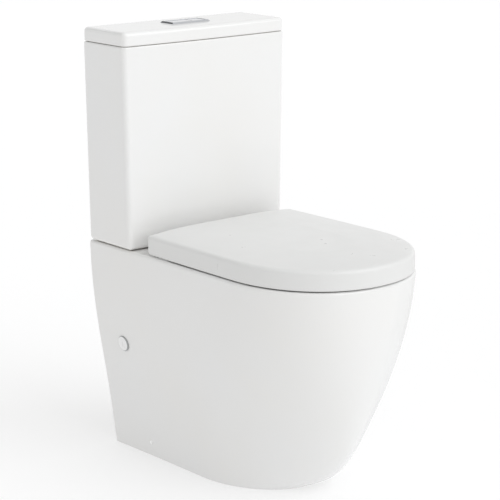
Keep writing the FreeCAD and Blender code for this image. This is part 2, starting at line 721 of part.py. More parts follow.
z0, z1 = num(D.tank_z0), num(D.tank_z1)
tank, feature = tapered_tank("tank", Q.of(0), D.tank_z0, D.tank_z1)
feature = dress(tank, feature, "Fillet", 9, lambda e: not at_z(e, z1))
feature = dress(tank, feature, "Fillet", 3, lambda e: at_z(e, z1))
inside, feature = tapered_tank("tank_inside", D.tank_wall, D.tank_z0 + D.tank_floor, D.tank_z1 + 3)
feature = dress(inside, feature, "Fillet", 8, lambda e: not at_z(e, z1 + 3))
tank_tools = [
    cyl("tank_outlet_hole", D.tail_rad + 1.5, 30, 0, D.inlet_y, D.tank_z0 - 10),
    cyl("tank_bolt_hole_a", D.bolt_rad + 2, 30, -D.bolt_x, D.inlet_y, D.tank_z0 - 10),
    cyl("tank_bolt_hole_b", D.bolt_rad + 2, 30, D.bolt_x, D.inlet_y, D.tank_z0 - 10),
    cyl("tank_inlet_hole", D.shank_rad + 1.2, 30, D.valve_x, D.inlet_y, D.tank_z0 - 10),
]
node(cut("cistern_body", tank, [inside] + tank_tools), "cistern_body")

# foam ring between the cistern and the pan, round the flush valve's back nut
low = D.deck_z - D.well_deep
node(turned("coupling_gasket", [(D.tail_rad + 1, 0.1), (46, 0.1), (47.5, 2), (47.5, 19.5), (45, 21.6), (43, 21.6), (43, 9.6),
                                (D.tail_rad + 1, 9.6)], 0, D.inlet_y, low), "coupling_gasket")

floor_z = D.tank_z0 + D.tank_floor
bolt = turned("coupling_bolt", [(0, -48), (D.bolt_rad - 0.6, -48), (D.bolt_rad, -47), (D.bolt_rad, 4.1), (9, 4.1), (9, 7),
                                (7, 9), (0, 9.4)], D.bolt_x, D.inlet_y, floor_z)
pair("coupling_bolts", bolt)
rubber = turned("coupling_rubber", [(D.bolt_rad + 0.1, 0.05), (11, 0.05), (11, 2), (8.5, 4), (D.bolt_rad + 0.1, 4)],
                D.bolt_x, D.inlet_y, floor_z)
pair("coupling_rubber_washers", rubber)
washer = turned("coupling_washer", [(D.bolt_rad + 0.2, 0), (11, 0), (11, 1.5), (D.bolt_rad + 0.2, 1.5)], D.bolt_x,
                D.inlet_y, D.deck_z - D.deck_thick - 1.6)
pair("coupling_metal_washers", washer)


def wing_nut(name, bore, x, y, z_top, rad=7.5, span=15):
    hub = turned(name + "_hub", [(bore, -9), (rad - 1, -9), (rad, -2), (rad + 1, 0), (bore, 0)], x, y, z_top)
    wings = doc.addObject("PartDesign::Body", name + "_wings")
    sk = new_sketch(wings, name + "_wing_outline", "YZ_Plane", -1.2)
    loop(sk, [(rad - 2, -8.5), (span - 2, -14), (span, -12), (span, -5), (span - 3, -2), (rad - 2, -1.5)])
    loop(sk, [(2 - rad, -8.5), (2 - rad, -1.5), (3 - span, -2), (-span, -5), (-span, -12), (2 - span, -14)])
    pad = wings.newObject("PartDesign::Pad", name + "_wing_pad")
    pad.Profile = sk
    pad.Length = 2.4
    pad.AllowMultiFace = True
    put(wings, x, y, z_top)
    return fuse(name, [hub, wings])


pair("coupling_wing_nuts", wing_nut("coupling_wing_nut", num(D.bolt_rad) + 0.05, D.bolt_x, D.inlet_y,
                                    D.deck_z - D.deck_thick - 1.65))

# ----------------------------------------------------------- the cistern lid

cover = doc.addObject("PartDesign::Body", "cover")
sk = new_sketch(cover, "cover_outline", "XY_Plane", D.cover_z0)
bowed(sk, D.cover_half, D.wall_y, front, D.tank_bow)
pad = cover.newObject("PartDesign::Pad", "cover_pad")
pad.Profile = sk
bind(pad, "Length", D.cover_z1 - D.cover_z0)
c0, c1 = num(D.cover_z0), num(D.cover_z1)
f1 = dress(cover, pad, "Fillet", 10, lambda e: not at_z(e, c0) and not at_z(e, c1))
f2 = dress(cover, f1, "Fillet", 8, lambda e: at_z(e, c1))
f3 = dress(cover, f2, "Fillet", 3, lambda e: at_z(e, c0))
sk = new_sketch(cover, "cover_underside", "XY_Plane", D.cover_z0)
r = D.cover_rim
bowed(sk, D.cover_half - r, D.wall_y - r, front + r, D.tank_bow)
pocket = cover.newObject("PartDesign::Pocket", "cover_hollow")
pocket.Profile = sk
bind(pocket, "Length", D.cover_z1 - D.cover_z0 - D.cover_plate)
pocket.Reversed = True
doc.recompute()
# locating lip inside the tank's rim
lip = doc.addObject("PartDesign::Body", "cover_lip")
sk = new_sketch(lip, "cover_lip_outline", "XY_Plane", D.cover_z0 - 9)
bowed(sk, D.cover_half - r + 0.5, D.wall_y - r + 0.5, front + r - 0.5, D.tank_bow)
pad = lip.newObject("PartDesign::Pad", "cover_lip_pad")
pad.Profile = sk
bind(pad, "Length", D.cover_z1 - D.cover_plate - D.cover_z0 + 9 + 0.5)
dress(lip, pad, "Fillet", 8, lambda e: along(e, V(0, 0, 1)))
sk = new_sketch(lip, "cover_lip_inside", "XY_Plane", D.cover_z0 - 10)
bowed(sk, D.cover_half - r - 4, D.wall_y - r - 4, front + r + 4, D.tank_bow)
pk = lip.newObject("PartDesign::Pocket", "cover_lip_hollow")
pk.Profile = sk
pk.Length = 80
pk.Reversed = True
doc.recompute()
button_hole = box("cover_button_hole", -(D.tray_half_x + 0.6), D.tray_half_x + 0.6, D.inlet_y - D.tray_half_y - 0.6,
                  D.inlet_y + D.tray_half_y + 0.6, D.cover_z1 - 20, D.cover_z1 + 5)
# four rubber pads sit in shallow recesses in the lid's underside
recesses, pads = [], []
for i, (px, py) in enumerate(((-1, 0), (1, 0), (-1, 1), (1, 1))):
    yy = D.wall_y - 8.4 if py else front + 4.0
    for kept, name_, low_z in ((recesses, "lid_recess_%d", D.cover_z0 - 1), (pads, "lid_pad_%d", D.tank_z1 + 0.3)):
        kept.append(box(name_ % i, (D.cover_half - 60) * px - 8, (D.cover_half - 60) * px + 8, yy, yy + 4, low_z,
                        D.cover_z0 + 1.2))
# the lip is set back where the tank narrows, so it clears the walls as the lid lifts
node(cut("cistern_lid", fuse("cover_with_lip", [cover, lip]), [button_hole] + recesses), "cistern_lid")
group("lid_rest_pads", pads)

# ----------------------------------------------------------- the push button

bz = box("bezel_outer", -D.plate_half_x, D.plate_half_x, D.inlet_y - D.plate_half_y, D.inlet_y + D.plate_half_y,
         D.cover_z1, D.cover_z1 + D.plate_high)
bezel_soft = doc.addObject("Part::Chamfer", "bezel_chamfer")
bezel_soft.Base = bz
doc.recompute()
bezel_soft.Edges = [(i + 1, 2.6, 2.6) for i, e in enumerate(bz.Shape.Edges)
                    if at_z(e, num(D.cover_z1 + D.plate_high))]
tray_wall = box("tray_outer", -D.tray_half_x, D.tray_half_x, D.inlet_y - D.tray_half_y, D.inlet_y + D.tray_half_y,
                D.tray_z, D.cover_z1 + 0.5)
tw = D.tray_wall
tray_inside = box("tray_inside", -(D.tray_half_x - tw), D.tray_half_x - tw, D.inlet_y - D.tray_half_y + tw,
                  D.inlet_y + D.tray_half_y - tw, D.tray_z + 2, D.cover_z1 + 10)
guide_a = cyl("guide_outer_a", 4, 6, -D.rod_x, D.inlet_y, D.tray_z - 6)
guide_b = cyl("guide_outer_b", 4, 6, D.rod_x, D.inlet_y, D.tray_z - 6)
stud = cyl("tray_stud", 4, 22, 0, D.inlet_y, D.tray_z - 22)
hole_a = cyl("guide_bore_a", D.rod_rad + 0.35, 30, -D.rod_x, D.inlet_y, D.tray_z - 15)
hole_b = cyl("guide_bore_b", D.rod_rad + 0.35, 30, D.rod_x, D.inlet_y, D.tray_z - 15)
node(cut("button_housing", fuse("button_housing_joined", [bezel_soft, tray_wall, guide_a, guide_b, stud]),
         [tray_inside, hole_a, hole_b]), "button_housing")

# bridge under the lid that the nut pulls the housing down with
under = D.cover_z1 - D.cover_plate
node(plate("button_clamp", [[(-27, -17), (-15.8, -17), (-15.8, -9.6), (15.8, -9.6), (15.8, -17), (27, -17), (27, -0.05),
                             (18, -0.05), (18, -7.05), (-18, -7.05), (-18, -0.05), (-27, -0.05)]], -9, 18, x=0, y=D.inlet_y,
           z=under - 5, role="YZ_Plane"), "button_clamp_blank")
NODES.pop()
clamp_blank = doc.getObject("button_clamp")
put(clamp_blank, 0, D.inlet_y, under)
clamp_hole = cyl("button_clamp_hole", 4.2, 30, 0, D.inlet_y, D.tray_z - 25)
clamp_cut = cut("button_clamp_bored", clamp_blank, [clamp_hole])
node(clamp_cut, "button_clamp_bridge")
node(plate("button_nut", [[(8.5 * math.cos(math.pi / 3 * k), 8.5 * math.sin(math.pi / 3 * k)) for k in range(6)]], -5, 5,
           circles=[(0, 0, 4.05)], x=0, y=D.inlet_y, z=under - 9.65), "button_nut")


def key(label, x0, x1, rod):
    g = D.key_gap
    y0 = D.inlet_y - D.tray_half_y + tw + g
    y1 = D.inlet_y + D.tray_half_y - tw - g
    block = box(label + "_block", x0, x1, y0, y1, D.key_z0, D.key_z1)
    soft = doc.addObject("Part::Fillet", label + "_soft")
    soft.Base = block
    doc.recompute()
    top = num(D.key_z1)
    soft.Edges = [(i + 1, 1.4, 1.4) for i, e in enumerate(block.Shape.Edges) if at_z(e, top)]
    under_key = box(label + "_under", x0 + 1.6, x1 - 1.6, y0 + 1.6, y1 - 1.6, D.key_z0 - 2, D.key_z0 + 4.4)
    peg = cyl(label + "_peg", 3.4, 4.6, rod, D.inlet_y, D.key_z0 + 0.4)
    sock = cyl(label + "_socket", D.rod_rad + 0.05, 4, rod, D.inlet_y, D.key_z0)
    shell_key = cut(label + "_shell", soft, [under_key])
    return node(cut(label, fuse(label + "_joined", [shell_key, peg]), [sock]), label)


key("full_flush_key", -(D.tray_half_x - tw - D.key_gap), D.key_split - 0.3, -D.rod_x)
key("half_flush_key", D.key_split + 0.3, D.tray_half_x - tw - D.key_gap, D.rod_x)

for label, x in (("full_flush_rod", -D.rod_x), ("half_flush_rod", D.rod_x)):
    top = D.key_z0 + 3.9 - D.rod_z
    node(turned(label, [(0, 0), (D.rod_rad - 0.5, 0), (D.rod_rad, 1), (D.rod_rad, top), (0, top)], x, D.inlet_y,
                D.rod_z), label)

for label, x in (("full_flush_spring", -1), ("half_flush_spring", 1)):
    wire_r, coil_r = 0.35, 3.2
    z_low, z_high = read("tray_z") + 2.5, read("key_z0") - 0.15
    helix = Part.makeHelix((z_high - z_low) / 5.0, z_high - z_low, coil_r)
    ring = Part.Wire([Part.Circle(V(coil_r, 0, 0), V(0, 1, 0), wire_r).toShape()])
    coil = Part.Wire(helix.Edges).makePipeShell([ring], True, True)
    s = doc.addObject("Part::Feature", label)
    s.Shape = coil
    s.Placement = Pl(V(x * read("rod_x"), read("inlet_y"), z_low), Rot())
    node(s, label)

# ----------------------------------------------------------- the flush valve

fz = floor_z
node(turned("flush_valve_gasket", [(D.tail_rad + 0.2, 0.05), (D.flange_rad - 1, 0.05), (D.flange_rad - 1, 3), (D.tail_rad + 0.2, 3)],
            0, D.inlet_y, fz), "flush_valve_gasket")
node(turned("flush_valve_base",
            [(D.tail_bore, -36), (D.tail_rad - 1, -36), (D.tail_rad, -35), (D.tail_rad, 3.05), (D.flange_rad, 3.05),
             (D.flange_rad, 6.2), (D.tail_bore + 4, 6.2), (D.tail_bore + 3, D.seat_z - fz), (D.tail_bore, D.seat_z - fz)],
            0, D.inlet_y, fz), "flush_valve_base")
node(turned("flush_valve_locknut", [(D.tail_rad + 0.05, -10), (41, -10), (42, -9), (42, -1), (41.5, -0.1), (D.tail_rad + 0.05, -0.1)],
            0, D.inlet_y, D.tank_z0), "flush_valve_locknut")

tower = turned("tower_shell",
               [(D.cage_rad - 2.5, 6.3), (D.cage_rad, 6.3), (D.cage_rad, 80), (D.tower_rad, 84), (D.tower_rad, D.tower_top - fz - 4),
                (D.cage_rad, D.tower_top - fz - 4), (D.cage_rad, D.tower_top - fz), (D.tube_rad + 0.5, D.tower_top - fz),
                (D.tube_rad + 0.5, D.tower_top - fz - 3), (D.tower_rad - 2, D.tower_top - fz - 3), (D.tower_rad - 2, 82),
                (D.cage_rad - 2.5, 78)], 0, D.inlet_y, fz)
win_x = box("tower_window_x", -60, 60, D.inlet_y - 17, D.inlet_y + 17, fz + 14, fz + 50)
win_y = box("tower_window_y", -17, 17, D.inlet_y - 60, D.inlet_y + 60, fz + 14, fz + 50)
plunger_bore = cyl("tower_plunger_bore", 2.85, 20, D.rod_x, D.inlet_y, D.tower_top - 12)
ear_a = box("tower_ear_a", -(D.pivot_x + 4), -(D.pivot_x - 4), D.inlet_y + 17.6, D.inlet_y + 20.6, D.tower_top - 1,
            D.pivot_z + 4)
ear_b = box("tower_ear_b", -(D.pivot_x + 4), -(D.pivot_x - 4), D.inlet_y - 20.6, D.inlet_y - 17.6, D.tower_top - 1,
            D.pivot_z + 4)
ear_bore = cyl("tower_ear_bore", 1.55, 60, -D.pivot_x, D.inlet_y - 30, D.pivot_z, "y")
node(cut("flush_valve_tower", fuse("tower_joined", [tower, ear_a, ear_b]), [win_x, win_y, plunger_bore, ear_bore]),
     "flush_valve_tower")
node(cyl("flush_lever_pin", 1.5, 43, -D.pivot_x, D.inlet_y - 21.5, D.pivot_z, "y"), "flush_lever_pin")

tz = D.seat_z
node(turned("overflow_tube",
            [(D.tube_rad - 1.8, 2), (27, 2), (27, 4.5), (D.tube_rad + 2, 6.5), (D.tube_rad, 9), (D.tube_rad, 291),
             (18, 291), (18, 294), (D.tube_rad, 294), (D.tube_rad, 304), (D.tube_rad - 1.8, 304)], 0, D.inlet_y, tz),
     "overflow_tube")
node(turned("flush_valve_seal", [(20, 0.3), (29.5, 0.3), (29.5, 1.95), (20, 1.95)], 0, D.inlet_y, tz), "flush_valve_seal")

# rocking lever: the push rod presses its short arm, its fork lifts the tube's collar
hub = cyl("lever_hub", 4, 34.4, -D.pivot_x, D.inlet_y - 17.2, D.pivot_z, "y")
arm = box("lever_arm", -(D.pivot_x + 16), -(D.pivot_x - 1), D.inlet_y - 4, D.inlet_y + 4, D.pivot_z - 2, D.pivot_z + 2)
fork_a = box("lever_fork_a", -(D.pivot_x + 0), 4, D.inlet_y + 12.8, D.inlet_y + 16.4, D.pivot_z - 1, D.pivot_z + 3)
fork_b = box("lever_fork_b", -(D.pivot_x + 0), 4, D.inlet_y - 16.4, D.inlet_y - 12.8, D.pivot_z - 1, D.pivot_z + 3)
lever_bore = cyl("lever_bore", 1.55, 60, -D.pivot_x, D.inlet_y - 30, D.pivot_z, "y")
tube_room = cyl("lever_tube_room", D.tube_rad + 1.6, 60, 0, D.inlet_y, D.pivot_z - 30)
node(cut("flush_lever", fuse("lever_joined", [hub, arm, fork_a, fork_b]), [lever_bore, tube_room]), "flush_lever")

node(turned("half_flush_plunger", [(0, 0), (2.5, 0), (2.5, 66), (4.2, 67), (4.2, 69), (0, 69)], D.rod_x, D.inlet_y,
            D.pivot_z + 2 - 69), "half_flush_plunger")

# ------------------------------------------------------------ the fill valve

node(turned("fill_valve_gasket", [(D.shank_rad + 0.1, 0.05), (16.5, 0.05), (16.5, 3), (D.shank_rad + 0.1, 3)], D.valve_x,
            D.inlet_y, fz), "fill_valve_gasket")
node(turned("fill_valve_body",
            [(5, -52), (D.shank_rad - 0.8, -52), (D.shank_rad, -51), (D.shank_rad, -23), (D.shank_rad - 0.8, -22.6),
             (D.shank_rad - 0.8, -21.4), (D.shank_rad, -21), (D.shank_rad, 3.05), (17, 3.05), (17, 6.5),
             (D.riser_rad + 2, 9), (D.riser_rad, 14), (D.riser_rad, 280), (5, 280)], D.valve_x, D.inlet_y, fz),
     "fill_valve_body")
nut_flats = [(16 * math.cos(math.pi / 3 * k), 16 * math.sin(math.pi / 3 * k)) for k in range(6)]
node(plate("fill_valve_locknut", [nut_flats], -11, 10.9, circles=[(0, 0, D.shank_rad + 0.05)], x=D.valve_x, y=D.inlet_y,
           z=D.tank_z0), "fill_valve_locknut")
head = turned("fill_head_shell",
              [(0, 280.1), (15, 280.1), (17, 282), (17, 296), (14, 299), (0, 299)], D.valve_x, D.inlet_y, fz)
post_a = box("fill_head_post_a", D.valve_x - 12, D.valve_x - 6, D.inlet_y + 4.6, D.inlet_y + 7.6, fz + 297, fz + 309)
post_b = box("fill_head_post_b", D.valve_x - 12, D.valve_x - 6, D.inlet_y - 7.6, D.inlet_y - 4.6, fz + 297, fz + 309)
post_bore = cyl("fill_head_bore", 1.55, 40, D.valve_x - 9, D.inlet_y - 20, fz + 305.5, "y")
node(cut("fill_valve_head", fuse("fill_head_joined", [head, post_a, post_b]), [post_bore]), "fill_valve_head")
node(cyl("float_lever_pin", 1.5, 17, D.valve_x - 9, D.inlet_y - 8.5, fz + 305.5, "y"), "float_lever_pin")
flh = cyl("float_lever_hub", 3.4, 8.4, D.valve_x - 9, D.inlet_y - 4.2, fz + 305.5, "y")
fla = box("float_lever_arm", D.valve_x - 8, D.valve_x + 24, D.inlet_y - 3, D.inlet_y + 3, fz + 304, fz + 307)
flb = cyl("float_lever_bore", 1.55, 40, D.valve_x - 9, D.inlet_y - 20, fz + 305.5, "y")
node(cut("float_lever", fuse("float_lever_joined", [flh, fla]), [flb]), "float_lever")
fh = D.float_z1 - D.float_z0
cup = turned("float_cup",
             [(D.riser_rad + 0.5, 0), (D.riser_rad + 2, 0), (D.riser_rad + 2, fh - 3), (D.float_rad - 1.8, fh - 3),
              (D.float_rad - 1.8, 0), (D.float_rad, 0), (D.float_rad, fh - 2), (D.float_rad - 2, fh), (D.riser_rad + 0.5, fh)],
             D.valve_x, D.inlet_y, D.float_z0)
link = cyl("float_link_rod", 1.4, fz + 302.0 - D.float_z1 + 1, D.valve_x + 19.5, D.inlet_y, D.float_z1 - 1)
node(fuse("fill_float", [cup, link]), "fill_float")

# ------------------------------------------------------------------ the seat

lid_args = tuple(read(a) for a in ("lid_rear", "lid_side", "lid_back_y", "lid_tan_y", "lid_nose_y", "lid_power"))


def lid_section(z, inset, back_inset=None):
    rear, side, back, tangent, nose, power = lid_args
    return d_outline(z, rear, side, back, tangent, nose, power, inset, back_inset)


z0, ze = read("lid_z0"), read("lid_edge_z")
low_band = lofted([lid_section(z0, 1.6), lid_section(z0 + 0.7, 0.6), lid_section(z0 + 2.0, 0.1), lid_section(z0 + 3.4, 0.0)])
mid_band = lofted([lid_section(z0 + 3.4, 0.0), lid_section(ze - 8, 0.5)], True)
edge_rows = [(ze - 8, 0.5), (ze - 5.2, 1.0), (ze - 2.9, 2.4), (ze - 1.2, 4.6), (ze - 0.1, 8.0)]
crown_rows = [(ze - 0.1, 8.0, 8.0), (ze + 2.4, 28, 9.4), (ze + 4.6, 52, 11.2), (ze + 6.2, 78, 13.4), (ze + 7.4, 104, 16.0)]
edge_band = lofted([lid_section(z, i) for z, i in edge_rows])
crown_band = lofted([lid_section(z, i, b) for z, i, b in crown_rows])
lid_out = stacked([low_band, mid_band, edge_band, crown_band])
lw, ceil = read("lid_wall"), read("lid_ceiling")
hz, hy, hx = read("hinge_z"), read("hinge_y"), read("hinge_x")
inner_lid = lofted([lid_section(z0 - 1, lw, lw - 0.5), lid_section(ceil, lw + 0.6, lw - 0.5)], True)
dished = lofted([lid_section(ceil - 0.5, 46, 50), lid_section(ceil + 1.6, 62, 62), lid_section(ceil + 5.6, 108, 84)], True)
lid_solid = lid_out.cut(inner_lid).cut(dished)
# the two rear corners are rounded in plan
round_r = 8.0
for sx in (-1, 1):
    corner = Part.makeBox(round_r + 2, round_r + 2, 60, V(sx * (lid_args[0] - round_r) - (0 if sx > 0 else round_r + 2),
                                                          lid_args[2] - round_r, z0 - 5))
    lid_solid = lid_solid.cut(corner.cut(Part.makeCylinder(round_r, 60, V(sx * (lid_args[0] - round_r),
                                                                          lid_args[2] - round_r, z0 - 5))))
# the rear lip is short, and open round each hinge
rear_room = Part.makeBox(360, 40, hz + 2 - (z0 - 2), V(-180, hy + 4, z0 - 2))
side_keep = []
lid_solid = lid_solid.cut(rear_room.common(Part.makeBox(2 * (lid_args[0] - 6), 60, 100, V(-(lid_args[0] - 6), hy - 10, 400))))
# below the hinge axis the rear ends stay within a circle that clears the deck
swing = Part.makeBox(400, 60, hz - z0 + 4, V(-200, hy, z0 - 4))
lid_solid = lid_solid.cut(swing.cut(Part.makeCylinder(hz - deck_z - 0.8, 420, V(-210, hy, hz), V(1, 0, 0))))
for sx in (-1, 1):
    notch = Part.makeBox(hx + 12.5 - (hx - 12.5), 20, ceil - hz - 1 + 0.0, V(sx * hx - 12.5, hy + 3, hz + 1))
    lid_solid = lid_solid.cut(notch)
ears = []
for sx in (-1, 1):
    x0 = sx * 56.2 - 10.2
    ear = Part.makeCylinder(8.5, 20.4, V(x0, hy, hz), V(1, 0, 0)).fuse(
        Part.makeBox(20.4, 17, ceil + 1.5 - hz, V(x0, hy - 8.5, hz)))
    ears.append(ear)
lid_solid = lid_solid.fuse(ears)
bores = [Part.makeCylinder(read("pin_rad") + 0.05, 18, V(sx * 58.6 - 9, hy, hz), V(1, 0, 0)) for sx in (-1, 1)]
lid_solid = lid_solid.cut(bores)
lid_solid = lid_solid.Solids[0] if len(lid_solid.Solids) == 1 else max(lid_solid.Solids, key=lambda s: s.Volume)
seat_lid = doc.addObject("Part::Feature", "seat_lid")
seat_lid.Shape = lid_solid
seat_lid.Placement = Pl(V(0, 0, 0), Rot())
node(seat_lid, "seat_lid")

r0, r1, ri, rb = read("ring_z0"), read("ring_z1"), read("ring_inset"), read("ring_back_y")
rear, side, back, tangent, nose, power = lid_args


def ring_section(z, inset):
    return d_outline(z, rear - ri - inset, side - ri - inset, rb - inset, tangent, nose + ri + inset, power)


ring_low = lofted([ring_section(r0, 1.2), ring_section(r0 + 1.2, 0.0)], True)
ring_mid = lofted([ring_section(r0 + 1.2, 0.0), ring_section(r1 - 8, 0.4)], True)
ring_top = lofted([ring_section(r1 - 8, 0.4), ring_section(r1 - 5, 1.2), ring_section(r1 - 2.4, 3.4), ring_section(r1 - 0.7, 7.0),
                          ring_section(r1, 12.5)])
ring_solid = ring_low.fuse([ring_mid, ring_top])
hole_x, hf, hr = read("ring_hole_x"), read("ring_hole_front"), read("ring_hole_rear")
hole = lofted([oval(z, hole_x, hf, hr, g) for z, g in
                      ((r0 - 1, 2.0), (r0 + 3, 0.0), (r0 + 8, 0.0), (r1 - 8, 1.4), (r1 - 4, 4.2), (r1 - 1.6, 8.6), (r1 + 0.4, 15.0))])
ring_solid = ring_solid.cut(hole)
lugs = []
for sx in (-1, 1):
    x0 = sx * 99.0 - 9.6
    lug = Part.makeCylinder(9.0, 19.2, V(x0, hy, hz), V(1, 0, 0))
    lug = lug.fuse(Part.makeBox(19.2, hy - (rb - 10), 14, V(x0, rb - 10, r0 + 3.2)))
    lugs.append(lug)
ring_solid = ring_solid.fuse(lugs)
post_room = [Part.makeBox(23.0, 30, 40, V(sx * hx - 11.5, rb - 3, r0 - 5)) for sx in (-1, 1)]
ring_solid = ring_solid.cut(post_room)
ring_solid = ring_solid.cut([Part.makeCylinder(read("pin_rad") + 0.05, 18, V(sx * 96.6 - 9, hy, hz), V(1, 0, 0))
                             for sx in (-1, 1)])
ring_solid = max(ring_solid.Solids, key=lambda s: s.Volume)
seat_ring = doc.addObject("Part::Feature", "seat_ring")
seat_ring.Shape = ring_solid
seat_ring.Placement = Pl(V(0, 0, 0), Rot())
node(seat_ring, "seat_ring")


def buffer(name, x, y, z_low, z_high, half_x, half_y):
    return box(name, x - half_x, x + half_x, y - half_y, y + half_y, z_low, z_high)


group("ring_buffers", [
    buffer("ring_buffer_%d" % i, x, y, D.deck_z + 0.3, D.ring_z0 + 0.0, 6, 10)
    for i, (x, y) in enumerate(((-146, -60), (146, -60), (-84, -240), (84, -240)))])
group("lid_buffers", [
    buffer("lid_buffer_%d" % i, x, y, D.ring_z1 + 0.3, D.lid_ceiling, 5, 8)
    for i, (x, y) in enumerate(((-140, 0), (140, 0), (-70, -258), (70, -258)))])

# hinge hardware: a chrome post on each side, its pin, and the bolt through the deck
post = doc.addObject("PartDesign::Body", "hinge_post_one")
sk = new_sketch(post, "hinge_post_outline", "YZ_Plane", -10.5)
loop(sk, [(-10, -14.9), (0.5, -14.9), (8, -4), (10, 0), (8.6, 5), (5, 8.6), (0, 10), (-5, 8.6), (-8.6, 5), (-10, 0)])
circle(sk, 0, 0, D.pin_rad + 0.02)
pad = post.newObject("PartDesign::Pad", "hinge_post_pad")
pad.Profile = sk
pad.Length = 21
put(post, D.hinge_x, D.hinge_y, D.hinge_z)
pair("hinge_posts", post)
cover_disc = turned("hinge_cover", [(4.2, 0.05), (11.0, 0.05), (11.0, 3.8), (10.2, 5), (4.2, 5)], D.hinge_x, D.hinge_y - 1.5,
                    D.deck_z)
pair("hinge_base_covers", cover_disc)
pin = turned("hinge_pin", [(0, 0), (D.pin_rad - 0.6, 0), (D.pin_rad, 0.6), (D.pin_rad, 53.4), (D.pin_rad - 0.6, 54), (0, 54)], 51,
             D.hinge_y, D.hinge_z, Rot(V(0, 1, 0), 90))
pair("hinge_pins", pin)
hb = turned("hinge_bolt", [(0, -52), (3, -52), (3, 4.95), (0, 4.95)], D.hinge_x, D.hinge_y - 1.5, D.deck_z)
pair("hinge_bolts", hb)
bush = turned("hinge_bush", [(3.1, -20), (9.5, -20), (9.5, -14.1), (6.2, -14.1), (6.2, -0.1), (3.1, -0.1)], D.hinge_x,
              D.hinge_y - 1.5, D.deck_z)
pair("hinge_bushes", bush)
pair("hinge_wing_nuts", wing_nut("hinge_wing_nut", 3.05, D.hinge_x, D.hinge_y - 1.5, D.deck_z - 20.1, 6.5, 13))

# --------------------------------------------------------------------- write

doc.recompute()
bad = [o.Name for o in doc.Objects if "Invalid" in o.State or "Error" in o.State]
if bad:
    raise RuntimeError("failed objects: " + ", ".join(bad))
labels = [o.Label for o in NODES]
if len(set(labels)) != len(labels):
    raise RuntimeError("labels repeat")
for o in NODES:
    if o.Shape.isNull() or not o.Shape.isValid() or not o.Shape.Solids:
        raise RuntimeError("bad shape: " + o.Label)
os.makedirs("parts", exist_ok=True)
for o in NODES:
    o.Shape.exportStep("parts/%s.step" % o.Label)
    print("%-26s solids %d  volume %.1f cm3" % (o.Label, len(o.Shape.Solids), o.Shape.Volume / 1000.0))
print(len(NODES), "nodes")
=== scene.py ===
import json
import math

import bpy
from mathutils import Matrix, Vector

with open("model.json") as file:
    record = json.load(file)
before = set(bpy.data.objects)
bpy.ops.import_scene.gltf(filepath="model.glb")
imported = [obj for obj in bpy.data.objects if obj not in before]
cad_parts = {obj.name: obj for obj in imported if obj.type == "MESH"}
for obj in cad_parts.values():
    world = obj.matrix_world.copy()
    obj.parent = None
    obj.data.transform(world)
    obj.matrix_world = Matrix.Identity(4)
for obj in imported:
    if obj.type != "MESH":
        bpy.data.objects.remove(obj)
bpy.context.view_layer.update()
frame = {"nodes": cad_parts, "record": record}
nodes = frame["nodes"]
scene = bpy.context.scene


# ------------------------------------------------------------------ materials


